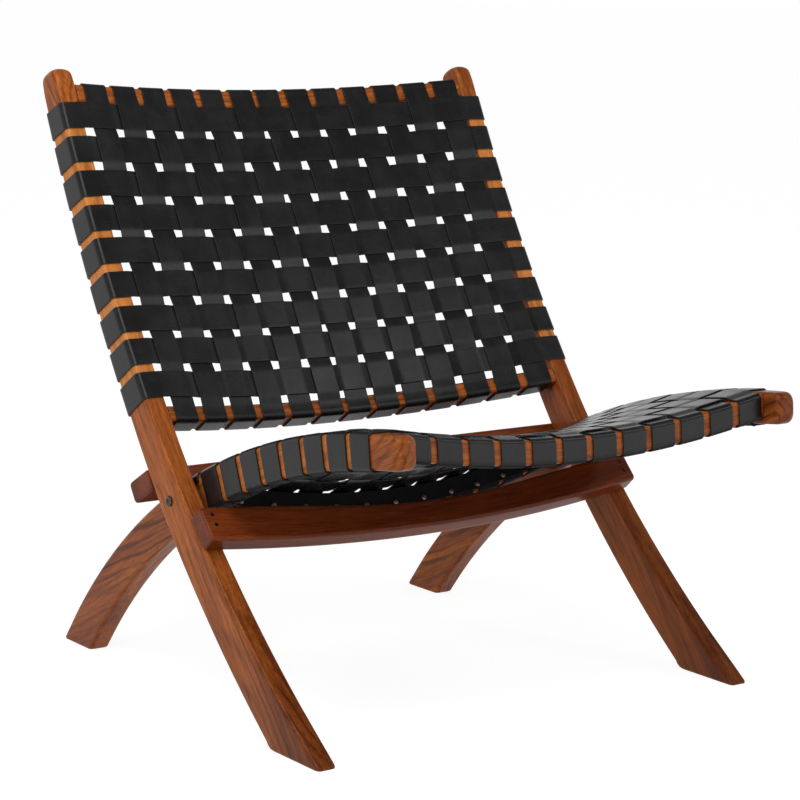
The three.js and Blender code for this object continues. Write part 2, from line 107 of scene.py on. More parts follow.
# Leather
STRAP_WIDTH = 32 * MM
STRAP_THICKNESS = 1.7 * MM
STRAP_EDGE_RADIUS = 0.55 * MM
STRAP_LIFT = 1.25 * MM
BACK_ROW_GAP = 10.4 * MM
BACK_COLUMN_GAP = 9.7 * MM
SEAT_STRAP_GAP = 9 * MM
STRAP_TO_RAIL = 1 * MM
STRAP_TAIL_INSET = 5 * MM
STRAP_SLACK = 0.5 * MM
STRAP_END_DROP = 9 * MM
STRAP_END_FLAP = 9 * MM
STRAP_END_FLAT = 1 * MM
TURNED_TAIL_SHARE = 0.3
CROSSING_EASE = 3 * MM
SEAT_WEAVE_SLACK = 0.3 * MM
RAIL_LEAN_REACH = 20 * MM
CLEARANCE = 0.3 * MM

# Drift of each strap to one side: its shift, its lean, the size of its sway and where the sway starts
ROW_DRIFT = 0.5 * MM, 1.2 * MM, 0.5 * MM, 1
COLUMN_DRIFT = 0.3 * MM, 1.0 * MM, 0.6 * MM, 1
SWAY_WAVES = 1.5

# How far the columns lean to the right on their way from the first rail, and each one's slip to the right;
# then each back row's slip up the posts
BACK_SLIPS = 3 * MM, np.array([0, 0.7, 1.3, 1.7, 2.0, 2.9, 0.4, 0.2, 0.4, 0.4, 1.7, 1.6, 2.4]) * MM
SEAT_SLIPS = 0, np.full(12, -2.5 * MM)
BACK_ROW_SLIPS = np.array([2.1, 1.9, 0.3, -0.2, -0.6, -0.7, -0.5, 0, -0.9]) * MM

# Leather bands over the strap tails, and their nails
FACING_FOOT = 3.5 * MM
FACING_THICKNESS = 1.6 * MM
FACING_INSET = 2 * MM
FACING_FLANK = 2 * MM
FACING_EDGE_RADIUS = 0.6 * MM
NAIL_RADIUS = 3.5 * MM
NAIL_HEIGHT = 1.9 * MM
NAIL_ABOVE_FOOT = 9 * MM

# Tacks, screws and pivot hardware
TACK_RADIUS = 2.4 * MM
TACK_HEIGHT = 1.2 * MM
TACK_SPREAD = 9 * MM
TACK_INSET = 6 * MM
SCREW_RADIUS = 2.3 * MM
SCREW_HEIGHT = 0.4 * MM
FRONT_SCREW_X = 288 * MM
FRONT_SCREW_DROPS = 9 * MM, 22 * MM
REAR_SCREW_X = 257 * MM
REAR_SCREW_REACHES = 12 * MM, 31 * MM
HEAD_SINK = 0.6 * MM
HEAD_NECK = 0.98
HEAD_TURN = 78
HEAD_RINGS = 6
HEAD_SIDES = 20
BOLT_RADIUS = 4 * MM
SPACER_BORE = 4.5 * MM
SPACER_RADIUS = 9 * MM
SPACER_EASE = 0.5 * MM
LATHE_SIDES = 48

# Sections along each kind of piece
BOARD_SECTIONS = 90
TIP_SECTIONS = 14
CROSS_SECTIONS = 61
END_SECTIONS = 5
ROW_SECTIONS = 260
COLUMN_SECTIONS = 220
FACING_SECTIONS = 90

POST_INNER_X = POST_OUTER_X - BOARD_THICKNESS
SIDE_OUTER_X = POST_INNER_X - FRAME_GAP
SIDE_INNER_X = SIDE_OUTER_X - BOARD_THICKNESS
BACK_RISE = STRAP_THICKNESS / 2
SEAT_RISE = STRAP_THICKNESS / 2 + SEAT_WEAVE_SLACK
WRAP_RADIUS = EDGE_RADIUS + STRAP_LIFT
RAIL_WRAP_RADIUS = WRAP_RADIUS * 0.98
RAIL_LANDING = EDGE_RADIUS * 1.6
FRONT_STRETCHER_FOOT = FRONT_STRETCHER_TOP - FRONT_STRETCHER_WIDTH
FRONT_STRETCHER_FACE = CLEARANCE + FRONT_STRETCHER_THICKNESS
REAR_STRETCHER_TOP = CLEARANCE + REAR_STRETCHER_THICKNESS

# Floor and camera
FLOOR_REACH = 60.0
FLOOR_DROP = 0.2 * MM
FLOOR_SHADE = 0.34
FLOOR_GLOW = 0.87
IMAGE_PIXELS = 800
SENSOR_WIDTH = 36
FOCAL_PIXELS = 2458.663

# How far past its ends and how finely a board's centre line is worked out
LINE_MARGIN = 0.1
LINE_STEP = 0.25 * MM


class BoardLine:
    """A curved board seen from the side, measured along its centre line from the pivot.

    Each knot gives a distance, a heading in degrees from +Y towards +Z, and the board's depth.
    """

    def __init__(self, *knots):
        at, heading, depth = np.array(knots, float).T
        self.at = at * MM
        self.headings = np.radians(heading)
        self.depths = depth * MM
        self.fine = np.arange(self.at[0] - LINE_MARGIN, self.at[-1] + LINE_MARGIN, LINE_STEP)
        turn = self.heading(self.fine)
        self.run = self.summed(np.cos(turn))
        self.climb = self.summed(np.sin(turn))

    def summed(self, rate):
        steps = np.diff(self.fine) * (rate[1:] + rate[:-1]) / 2
        total = np.concatenate([[0], np.cumsum(steps)])
        return total - np.interp(0, self.fine, total)

    def heading(self, along):
        return np.interp(along, self.at, self.headings)

    def depth(self, along):
        return np.interp(along, self.at, self.depths)

    def way(self, along, turned=0.0):
        """Direction along the board, or that direction turned by an angle towards its outer face."""
        turn = self.heading(along) + turned
        return np.array([0, math.cos(turn), math.sin(turn)])

    def place(self, x, along, level):
        """Point at a level above the outer face; negative levels go into the board."""
        normal = self.heading(along) + math.pi / 2
        rise = self.depth(along) / 2 + level
        y = PIVOT_Y + np.interp(along, self.fine, self.run) + rise * np.cos(normal)
        z = PIVOT_Z + np.interp(along, self.fine, self.climb) + rise * np.sin(normal)
        return np.stack(np.broadcast_arrays(x, y, z), axis=-1)

    def foot(self, end):
        """Distance along the board at which its centre line meets the floor."""
        side = (self.fine < 0) if end < 0 else (self.fine > 0)
        height = np.where(side, np.abs(self.climb + PIVOT_Z), 1)
        return self.fine[np.argmin(height)]


post = BoardLine((-337, 36, 54), (-55, 47, 48.5), (55, 53, 44), (529, 65.4, 34))
seat_side = BoardLine((-393, -4.9, 35), (-55, -24.9, 41), (55, -31.8, 45), (349, -53.4, 52))


class Rail:
    """A rail between two boards: where it starts and ends along them, and its face below theirs."""

    def __init__(self, start, thickness, set_back, lean=0):
        self.start = start * MM
        self.end = (start + thickness) * MM
        self.face = -set_back * MM
        self.lean = lean * MM


top_rail = Rail(486, 22, 1.6)
bottom_rail = Rail(88, 18, 1.6, lean=3)
front_rail = Rail(-368, 20, 1.6, lean=6.5)
rear_rail = Rail(14, 20, 2)


def bow_share(x, half):
    """Share of a bow at x: all of it midway between the boards, none at them."""
    return np.maximum(0, 1 - (x / half) ** 2)


class Nodes:
    """A node tree, with short ways to add nodes to it."""

    def __init__(self, tree):
        self.tree = tree
        self.tree.nodes.clear()

    def add(self, kind, settings=None, **inputs):
        node = self.tree.nodes.new("ShaderNode" + kind)
        for key, value in (settings or {}).items():
            setattr(node, key, value)
        for key, value in inputs.items():
            self.feed(node.inputs[key.replace("_", " ")], value)
        return node

    def feed(self, socket, value):
        if isinstance(value, bpy.types.NodeSocket):
            self.tree.links.new(value, socket)
        else:
            socket.default_value = value

    def fed(self, kind, settings, *values):
        """A node whose inputs are filled in order; its first output."""
        node = self.add(kind, settings)
        for socket, value in zip(node.inputs, values):
            self.feed(socket, value)
        return node.outputs[0]

    def attribute(self, name, output="Vector"):
        return self.add("Attribute", {"attribute_name": name}).outputs[output]

    def stretch(self, vector, scale):
        return self.fed("VectorMath", {"operation": "MULTIPLY"}, vector, scale)

    def shift(self, vector, offset):
        return self.fed("VectorMath", {"operation": "ADD"}, vector, offset)

    def length(self, vector):
        node = self.add("VectorMath", {"operation": "LENGTH"})
        self.feed(node.inputs[0], vector)
        return node.outputs["Value"]

    def math(self, operation, a, b=0.0):
        return self.fed("Math", {"operation": operation}, a, b)

    def times(self, a, b):
        return self.math("MULTIPLY", a, b)

    def plus(self, a, b):
        return self.math("ADD", a, b)

    def noise(self, vector, scale, detail=2.0, roughness=0.5, output="Fac"):
        at = self.stretch(vector, scale)
        node = self.add("TexNoise", Vector=at, Scale=1.0, Detail=detail, Roughness=roughness)
        return node.outputs[output]

    def cells(self, vector, scale):
        at = self.stretch(vector, scale)
        node = self.add("TexVoronoi", {"feature": "DISTANCE_TO_EDGE"}, Vector=at, Scale=1.0)
        return node.outputs["Distance"]

    def ramp(self, value, *stops):
        node = self.add("ValToRGB", Fac=value)
        elements = node.color_ramp.elements
        while len(elements) < len(stops):
            elements.new(0.5)
        for element, (at, grey) in zip(elements, stops):
            element.position = at
            element.color = (grey, grey, grey, 1)
        return node.outputs["Color"]

    def range(self, value, low, high, to_low=0.0, to_high=1.0):
        ends = {"From_Min": low, "From_Max": high, "To_Min": to_low, "To_Max": to_high}
        return self.add("MapRange", Value=value, **ends).outputs["Result"]

    def mix(self, share, a, b, blend="MIX"):
        node = self.add("Mix", {"data_type": "RGBA", "blend_type": blend})
        for socket, value in zip((node.inputs[0], node.inputs[6], node.inputs[7]), (share, a, b)):
            self.feed(socket, (*value, 1) if isinstance(value, tuple) else value)
        return node.outputs[2]

    def bump(self, height, strength, distance, normal=None):
        node = self.add("Bump", Height=height, Strength=strength, Distance=distance)
        if normal is not None:
            self.feed(node.inputs["Normal"], normal)
        return node.outputs["Normal"]

    def seen(self):
        """One for rays from the camera and for reflected and refracted ones, else zero."""
        path = self.add("LightPath")
        rays = [path.outputs[name] for name in ("Is Camera Ray", "Is Glossy Ray", "Is Transmission Ray")]
        return self.math("MAXIMUM", self.math("MAXIMUM", rays[0], rays[1]), rays[2])

    def output(self, kind, shader):
        out = self.add(kind)
        self.tree.links.new(shader, out.inputs["Surface"])


def new_material(name):
    material = bpy.data.materials.new(name)
    material.use_nodes = True
    return material, Nodes(material.node_tree)


# Pale teak mixed into the boards as painted light where the straps cross them, partly paler wood.
PALE_LIT_TEAK = (0.68, 0.245, 0.055)


def teak(name, light, mid, dark, contrast):
    """Oiled hardwood; grain attribute: metres across, along and into the plank; tone: above zero paler,
    partly painted light and partly paler wood; below zero darker, partly painted shade.

    Noise scales are features per metre in these three directions.
    """
    material, s = new_material(name)
    straight = s.attribute("grain")
    bend = s.shift(s.noise(straight, (11, 3.4, 11), 2, output="Color"), (-0.5, -0.5, -0.5))
    grain = s.shift(straight, s.stretch(bend, (0.02, 0, 0.02)))
    broad = s.noise(grain, (30, 2.2, 30), 3)
    color = s.mix(s.range(broad, 0.36, 0.66), light, mid)
    streaks = s.noise(grain, (130, 5.5, 130), 5, 0.66)
    color = s.mix(s.times(s.range(streaks, 0.48, 0.74), contrast), color, dark)
    wander = s.shift(s.noise(straight, (0.8, 1.4, 0.8), 1, output="Color"), (-0.5, -0.5, -0.5))
    heart = s.shift(s.stretch(grain, (1, 0, 1)), s.stretch(wander, (0.14, 0, 0.14)))
    rings = s.plus(s.times(s.length(heart), 760.0), s.times(broad, 15.0))
    figure = s.range(s.noise(straight, (24, 4.0, 24), 2), 0.44, 0.66)
    lines = s.range(s.math("SINE", rings), 0.2, 1.0)
    color = s.mix(s.times(s.times(lines, figure), contrast), color, dark)
    fibres = s.noise(grain, (620, 34, 620), 5, 0.7)
    color = s.mix(1.0, color, s.ramp(fibres, (0.28, 0.5), (0.72, 1.42)), "MULTIPLY")
    pores = s.range(s.noise(grain, (1600, 60, 1600), 1), 0.63, 0.7)
    color = s.mix(s.times(pores, 0.5), color, dark)
    tone = s.attribute("tone", "Fac")
    # Painted light: a positive tone mixes in the pale teak; painted shade: a negative tone mixes in the
    # dark stock.
    painted_light_share = s.times(s.range(tone, 0.0, 1.0), s.range(streaks, 0.4, 0.66, 0.9, 0.35))
    color = s.mix(painted_light_share, color, PALE_LIT_TEAK)
    color = s.mix(s.range(tone, 0.0, -1.0, 0.0, 0.75), color, dark)
    normal = s.bump(fibres, 0.1, 0.0003)
    normal = s.bump(s.noise(grain, (60, 8, 60), 2), 0.1, 0.001, normal)
    shader = s.add(
        "BsdfPrincipled", Base_Color=color, Roughness=s.range(fibres, 0.2, 0.8, 0.28, 0.4), Normal=normal,
        Specular_IOR_Level=0.07, Coat_Weight=0.14, Coat_Roughness=0.1,
    )
    s.output("OutputMaterial", shader.outputs[0])
    return material


def leather(name, base, worn):
    """Smooth black hide; grain attribute: metres across, along and into the strap; tone: dull tails."""
    material, s = new_material(name)
    hide = s.attribute("grain")
    dull = s.attribute("tone", "Fac")
    pebble = s.ramp(s.cells(hide, (950, 950, 950)), (0.0, 0.0), (0.3, 1.0))
    crease = s.noise(hide, (420, 420, 420), 3, 0.6)
    waves = s.noise(hide, (40, 30, 40), 2)
    patches = s.range(s.noise(hide, (24, 15, 24), 3, 0.6), 0.42, 0.72)
    scuffs = s.range(s.noise(hide, (260, 50, 260), 4, 0.7), 0.58, 0.76)
    dust = s.range(s.noise(hide, (640, 640, 640), 1), 0.7, 0.78)
    share = s.plus(s.times(patches, 0.45), s.plus(s.times(scuffs, 0.3), s.times(dust, 0.35)))
    color = s.mix(share, base, worn)
    rough = s.plus(s.range(waves, 0.2, 0.8, 0.22, 0.32), s.plus(s.times(scuffs, 0.1), s.times(dull, 0.6)))
    normal = s.bump(pebble, 0.08, 0.00012)
    normal = s.bump(crease, 0.08, 0.00015, normal)
    normal = s.bump(waves, 0.14, 0.0008, normal)
    shader = s.add(
        "BsdfPrincipled", Base_Color=color, Roughness=rough, Normal=normal, Specular_IOR_Level=0.22,
    )
    s.output("OutputMaterial", shader.outputs[0])
    return material


def metal(name, base, worn, rough):
    """Darkened steel with rubbed patches."""
    material, s = new_material(name)
    grain = s.attribute("grain")
    rub = s.range(s.noise(grain, (420, 420, 420), 4, 0.6), 0.4, 0.7)
    pits = s.noise(grain, (1900, 1900, 1900), 3, 0.7)
    shader = s.add(
        "BsdfPrincipled", Base_Color=s.mix(rub, base, worn), Metallic=1.0,
        Normal=s.bump(pits, 0.15, 0.0002), Roughness=s.range(rub, 0.0, 1.0, rough + 0.1, rough - 0.06),
    )
    s.output("OutputMaterial", shader.outputs[0])
    return material


FRAME_TEAK = teak("frame_teak", (0.44, 0.118, 0.02), (0.22, 0.049, 0.008), (0.045, 0.009, 0.003), 0.7)
STRETCHER_TEAK = teak(
    "stretcher_teak", (0.21, 0.042, 0.009), (0.115, 0.019, 0.004), (0.035, 0.006, 0.002), 0.4,
)
STRAP_LEATHER = leather("strap_leather", (0.0078, 0.0078, 0.0082), (0.025, 0.0246, 0.0246))
PIVOT_STEEL = metal("pivot_steel", (0.05, 0.042, 0.036), (0.17, 0.14, 0.115), 0.42)
SCREW_BLACK = metal("screw_black", (0.008, 0.006, 0.005), (0.03, 0.022, 0.018), 0.55)
NAIL_BRONZE = metal("nail_bronze", (0.16, 0.115, 0.085), (0.4, 0.31, 0.24), 0.34)


def finish_piece(name, points, faces, grain, tone, material, body, node=None):
    """Mesh with its grain and tone, riding on its body, in place of a node where one is named."""
    mesh = bpy.data.meshes.new(name)
    mesh.from_pydata(points.reshape(-1, 3).tolist(), [], faces)
    mesh.polygons.foreach_set("use_smooth", np.ones(len(mesh.polygons), bool))
    own = mesh.attributes.new("grain", "FLOAT_VECTOR", "POINT")
    own.data.foreach_set("vector", np.ascontiguousarray(grain, np.float32).reshape(-1))
    shade = mesh.attributes.new("tone", "FLOAT", "POINT")
    shade.data.foreach_set("value", np.ascontiguousarray(tone, np.float32).reshape(-1))
    mesh.materials.append(material)
    mesh.validate()
    piece = bpy.data.objects.new(name, mesh)
    bpy.context.scene.collection.objects.link(piece)
    weigh = piece.modifiers.new("even_normals", "WEIGHTED_NORMAL")
    weigh.keep_sharp = True
    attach(piece, body)
    if node:
        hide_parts(node)


def ring_faces(rings, count, first=0, looped=False):
    """Quads between rings of equal count, and a face on each end unless the rings close on themselves."""
    faces = []
    for ring in range(rings if looped else rings - 1):
        near, far = first + ring * count, first + (ring + 1) % rings * count
        for i in range(count):
            j = (i + 1) % count
            faces.append((near + i, near + j, far + j, far + i))
    if not looped:
        faces.append(tuple(first + i for i in reversed(range(count))))
        faces.append(tuple(first + (rings - 1) * count + i for i in range(count)))
    return faces


def outward(points, faces):
    """The same faces, turned so that the closed skin encloses a positive volume."""
    flat = points.reshape(-1, 3)
    flat = flat - flat.mean(axis=0)
    fans = np.array([(f[0], f[i], f[i + 1]) for f in faces for i in range(1, len(f) - 1)])
    a, b, c = flat[fans[:, 0]], flat[fans[:, 1]], flat[fans[:, 2]]
    volume = np.einsum("ij,ij->", a, np.cross(b, c))
    return faces if volume > 0 else [tuple(reversed(face)) for face in faces]


def skin(name, rings, grain, tone, material, body, node=None, looped=False):
    """Piece with a closed skin over rings of points."""
    faces = outward(rings, ring_faces(rings.shape[0], rings.shape[1], 0, looped))
    finish_piece(name, rings, faces, grain, tone, material, body, node)


ARC_POINTS = 6
FULLEST_ROUND = 0.98
FULLEST_FLANK = 0.9
ARC_CORNERS = ((1, 1), (-1, 1), (-1, -1), (1, -1))


def rounded_section(x0, x1, low, high, radius, flank=3 * MM):
    """Ring of a rounded rectangle, with a point on the flat beside each end of its corner arcs."""
    half = np.array([x1 - x0, high - low]) / 2
    radius = min(radius, FULLEST_ROUND * half.min())
    ring = []
    for turn, corner in enumerate(ARC_CORNERS):
        angles = np.radians(90 * turn + np.linspace(0, 90, ARC_POINTS))
        arc = np.stack([np.cos(angles), np.sin(angles)], 1)
        centre = np.array(corner) * (half - radius)
        room = np.minimum(flank, FULLEST_FLANK * (half - radius))
        points = centre + radius * arc
        ring += [points[0] - room * arc[-1], *points, points[-1] - room * arc[0]]
    return np.array(ring) + ((x0 + x1) / 2, (low + high) / 2)


def round_inset(to_end, radius):
    """How far a rounded end draws in at a distance from that end."""
    short = max(0, radius - to_end)
    return radius - math.sqrt(radius**2 - short**2)


STOCK_LOW = (-0.01, 0, -0.01)
STOCK_HIGH = (0.01, 9, 0.01)


def own_stock():
    """Where in the timber or hide a piece is cut from, so that no two pieces show the same figure."""
    return draw.uniform(STOCK_LOW, STOCK_HIGH)


def foot_rings(line, foot, x0, x1):
    """Rings of a sawn foot from the floor up, toe and rim eased, with distances along the board."""
    depth, slope = line.depth(foot), line.heading(foot)
    for height in FOOT_LEVELS:
        toe = TOE_EASE * max(0, 1 - height / TOE_EASE_HEIGHT) ** 2
        rim = FOOT_EASE * max(0, 1 - height / FOOT_EASE_HEIGHT) ** 2
        flat = rounded_section(x0 + rim, x1 - rim, rim - depth, -toe, EDGE_RADIUS)
        points = line.place(flat[:, 0], foot, flat[:, 1])
        slide = (height - points[:, 2]) / math.sin(slope)
        points[:, 1] += slide * math.cos(slope)
        points[:, 2] = height
        yield points, foot + slide


def board_ring(line, along, end, x0, x1):
    """Ring across a frame board, drawn in and rounder towards its tip, and its distance along."""
    to_end = abs(end - along)
    inset = round_inset(to_end, TIP_RADIUS)
    side = round_inset(to_end, TIP_SIDE_RADIUS)
    near_tip = np.clip(1 - to_end / TIP_TAPER, 0, 1) ** TIP_ROUNDING_POWER
    radius = EDGE_RADIUS + (TIP_CORNER_RADIUS - EDGE_RADIUS) * near_tip
    flat = rounded_section(x0 + side, x1 - side, inset - line.depth(along), -inset, radius)
    return line.place(flat[:, 0], along, flat[:, 1]), np.full(len(flat), along)


def frame_board(name, line, end, x0, x1, painted_light_and_shade, body):
    """Curved board from its sawn foot on the floor to its rounded tip, cut from a straight plank.

    Its inner face takes only the painted shade, none of the painted light.
    """
    foot = line.foot(-end)
    turn = math.copysign(1, end - foot)
    clear = line.depth(foot) / 2 / abs(math.tan(line.heading(foot))) + FOOT_CLEAR
    stations = list(np.linspace(foot + turn * clear, end - turn * TIP_TAPER, BOARD_SECTIONS))
    for i in range(1, TIP_SECTIONS + 1):
        stations.append(end - turn * TIP_TAPER * (1 - math.sin(math.pi / 2 * i / TIP_SECTIONS)))
    both = list(foot_rings(line, foot, x0, x1))
    both += [board_ring(line, along, end, x0, x1) for along in stations]
    rings, alongs = (np.array(part) for part in zip(*both))
    chord = line.place(0, end, 0) - line.place(0, foot, 0)
    chord /= np.linalg.norm(chord)
    plank = np.stack([(1, 0, 0), chord, np.cross((1, 0, 0), chord)], 1)
    # Painted light and shade in its colour along the board; the inner face keeps only the painted shade.
    tone = np.interp(alongs, *painted_light_and_shade)
    inner = np.abs(rings[..., 0]) < min(abs(x0), abs(x1)) + INNER_FACE_BAND
    tone = np.where(inner, np.minimum(tone, 0), tone)
    skin(name, rings, rings @ plank + own_stock(), tone, FRAME_TEAK, body, name)


def cross_board(
    name, line, half, start, end, low, high, bows, end_radius, material, body, shaped=None,
):
    """Board across the chair with eased ends, shifted along and across the side boards by its bows.

    A shaped board has its own offsets of its two edges at each x.
    """
    xs = list(np.linspace(-half + end_radius, half - end_radius, CROSS_SECTIONS))
    turns = [math.pi / 2 * i / END_SECTIONS for i in range(1, END_SECTIONS + 1)]
    ends = [half - end_radius + end_radius * math.sin(turn) for turn in turns]
    rings, grain = [], []
    for x in [-e for e in reversed(ends)] + xs + ends:
        inset = round_inset(half - abs(x), end_radius)
        share = bow_share(x, half)
        first, last = shaped(x) if shaped else (0, 0)
        first, last = start + first + inset, end + last - inset
        flat = rounded_section(first, last, low + inset, high - inset, EDGE_RADIUS)
        rings.append(line.place(x, flat[:, 0] + bows[0] * share, flat[:, 1] + bows[1] * share))
        grain.append(np.stack([flat[:, 1], np.full(len(flat), x), flat[:, 0]], 1))
    grain = np.array(grain) + own_stock()
    skin(name, np.array(rings), grain, np.zeros(grain.shape[:2]), material, body, name)


def rounded_path(points, radius, step=2.5 * MM, arc_points=7):
    """Polyline with its inner corners rounded, sampled finely enough to bend a strap along."""
    path = [np.array(points[0], float)]
    for before, corner, after in zip(points, points[1:], points[2:]):
        before, corner, after = (np.array(p, float) for p in (before, corner, after))
        come = (corner - before) / np.linalg.norm(corner - before)
        go = (after - corner) / np.linalg.norm(after - corner)
        turn = math.acos(np.clip(np.dot(come, go), -1, 1))
        reach = radius * math.tan(turn / 2)
        centre = corner + (go - come) / np.linalg.norm(go - come) * radius / math.cos(turn / 2)
        start = corner - come * reach
        side = math.copysign(1, come[0] * go[1] - come[1] * go[0])
        spoke = start - centre
        for share in np.linspace(0, 1, arc_points):
            angle = side * turn * share
            cos, sin = math.cos(angle), math.sin(angle)
            path.append(centre + (spoke[0] * cos - spoke[1] * sin, spoke[0] * sin + spoke[1] * cos))
    path.append(np.array(points[-1], float))
    dense = [path[0]]
    for a, b in zip(path, path[1:]):
        count = max(1, math.ceil(np.linalg.norm(b - a) / step))
        dense += [a + (b - a) * i / count for i in range(1, count + 1)]
    return np.array(dense)


def eased_levels(u, flats):
    """Levels along a strap that lies on the given flats (start, end, level) and eases between them."""
    edges = np.array([[start, end] for start, end, _ in flats]).ravel()
    phase = np.interp(u, edges, np.repeat(np.arange(len(flats)), 2))
    index = np.minimum(np.floor(phase).astype(int), len(flats) - 1)
    share = phase - index
    levels = np.array([level for _, _, level in flats])
    after = levels[np.minimum(index + 1, len(flats) - 1)]
    return levels[index] + (after - levels[index]) * share**2 * (3 - 2 * share)


def strap_section():
    """Ring across a strap: offsets from its middle and heights off its middle plane."""
    half, thick, radius = STRAP_WIDTH / 2, STRAP_THICKNESS / 2, STRAP_EDGE_RADIUS
    corner = np.radians(np.linspace(0, 90, 4))
    right = [(half - radius + radius * math.cos(a), thick - radius + radius * math.sin(a)) for a in corner]
    top = [(v * half, thick) for v in (0.85, 0.45, 0, -0.45, -0.85)]
    left = [(-v, w) for v, w in reversed(right)]
    upper = right + top + left
    lower = [(-v, -w) for v, w in right] + [(v * half, -thick) for v in (-0.6, 0, 0.6)]
    lower += [(v, -w) for v, w in reversed(right)]
    return np.array(upper + lower)


SECTION = strap_section()


def strap(name, path, to_space, dull_below, body, drift):
    """Leather strap bent along a path in (run, level), dull on the tails that lie below a level.

    The way into space takes run, offset across and level.
    """
    run = np.gradient(path, axis=0)
    run /= np.linalg.norm(run, axis=1)[:, None]
    normal = np.stack([-run[:, 1], run[:, 0]], 1)
    lengths = np.concatenate([[0], np.cumsum(np.linalg.norm(np.diff(path, axis=0), axis=1))])
    share = lengths / lengths[-1]
    wave = np.sin(2 * math.pi * (share * SWAY_WAVES + drift[3]))
    sway = drift[0] + drift[1] * (share - 0.5) + drift[2] * wave
    across = SECTION[None, :, 0] + sway[:, None]
    lift = np.broadcast_to(SECTION[None, :, 1], across.shape)
    u = path[:, None, 0] + normal[:, None, 0] * lift
    level = path[:, None, 1] + normal[:, None, 1] * lift
    rings = to_space(u, across, level)
    grain = np.stack(np.broadcast_arrays(SECTION[None, :, 0], lengths[:, None], lift), -1) + own_stock()
    dull = np.broadcast_to((path[:, 1] < dull_below)[:, None], grain.shape[:2])
    skin(name, rings, grain, dull, STRAP_LEATHER, body, name)


def strap_centres(low, high, gap, centred):
    """Middles of as many straps as fit between two limits."""
    pitch = STRAP_WIDTH + gap
    count = max(1, math.floor((high - low + gap) / pitch))
    spare = (high - low + gap - count * pitch) / 2 if centred else 0
    return [low + spare + STRAP_WIDTH / 2 + i * pitch for i in range(count)]


class Panel:
    """A woven panel: rows across the chair, columns from rail to rail, hollow between its boards."""

    def __init__(self, line, half, outer, bows, easing, rise, rows, gap, rails, slips, body, names):
        self.line, self.half, self.outer, self.bows, self.easing = line, half, outer, bows, easing
        self.rise = rise
        self.rows, self.rails, self.body = rows, rails, body
        self.lean, self.slips = slips
        self.columns = strap_centres(-half, half, gap, True)
        self.row_name, self.column_name = names
        self.flap_row = None
        self.turned_tails = False

    def bow(self, along):
        """Depth of the hollow along the boards: from one rail's bow to the other's, eased midway."""
        share = np.interp(along, (self.rails[0].end, self.rails[1].start), (0, 1))
        even = self.bows[0] + (self.bows[1] - self.bows[0]) * share
        return even - 4 * self.easing * share * (1 - share)

    def rail_bow(self, rail):
        return self.bow((rail.start + rail.end) / 2)


def crossing_level(panel, row, column, is_row):
    """Level of a strap where it crosses another: rows lie over and under by turns."""
    row_over = (row + column) % 2 == 0
    return STRAP_LIFT + (panel.rise if row_over == is_row else -panel.rise)


def crossings(places, levels):
    """Flats of a strap over and under the straps that it crosses."""
    reach = STRAP_WIDTH / 2 - CROSSING_EASE
    return [(at - reach, at + reach, level) for at, level in zip(places, levels)]


def row_strap(panel, row):
    """Strap woven across a panel and wrapped round the board on each side."""
    line, half, outer = panel.line, panel.half, panel.outer
    along = panel.rows[row]
    depth = line.depth(along)
    side, under = -(outer + STRAP_LIFT), -depth - STRAP_LIFT - STRAP_SLACK
    wrap = [(-half - STRAP_TAIL_INSET, under), (side, under)]
    if panel.turned_tails:
        inner = -half + STRAP_LIFT
        wrap = [(inner, -TURNED_TAIL_SHARE * depth), (inner, under), (side, under)]
    if row == panel.flap_row:
        wrap = [(side, -STRAP_END_FLAP)]
    left = rounded_path(wrap + [(side, STRAP_LIFT), (-half, STRAP_LIFT)], WRAP_RADIUS)
    levels = [crossing_level(panel, row, column, True) for column in range(len(panel.columns))]
    flats = [(-outer, -half - STRAP_END_FLAT, STRAP_LIFT)]
    flats += crossings(panel.columns, levels)
    flats += [(half + STRAP_END_FLAT, outer, STRAP_LIFT)]
    u = np.linspace(-half, half, ROW_SECTIONS)[1:-1]
    woven = np.stack([u, eased_levels(u, flats)], 1)
    path = np.concatenate([left, woven, left[::-1] * (-1, 1)])

    def to_space(u, across, level):
        place = along + across
        level = np.where(level < 0, level * line.depth(place) / depth, level)
        return line.place(u, place, level - panel.bow(place) * bow_share(u, half))

    drift = draw.uniform(-1, 1, 4) * ROW_DRIFT
    strap(panel.row_name % (row + 1), path, to_space, -depth, panel.body, drift)


def rail_wrap(rail, sign, shift):
    """Path of a column strap from its tail on a rail's inner face right round that rail."""
    near, far = (rail.end, rail.start) if sign < 0 else (rail.start, rail.end)
    turn = near + shift - sign * STRAP_LIFT
    side = far + shift + sign * STRAP_LIFT
    under = rail.face - RAIL_DEPTH - STRAP_LIFT
    top = rail.face + STRAP_LIFT
    inner = far + shift - sign * RAIL_LANDING
    corners = [(turn, rail.face - STRAP_END_DROP), (turn, under), (side, under), (side, top), (inner, top)]
    return rounded_path(corners, RAIL_WRAP_RADIUS)


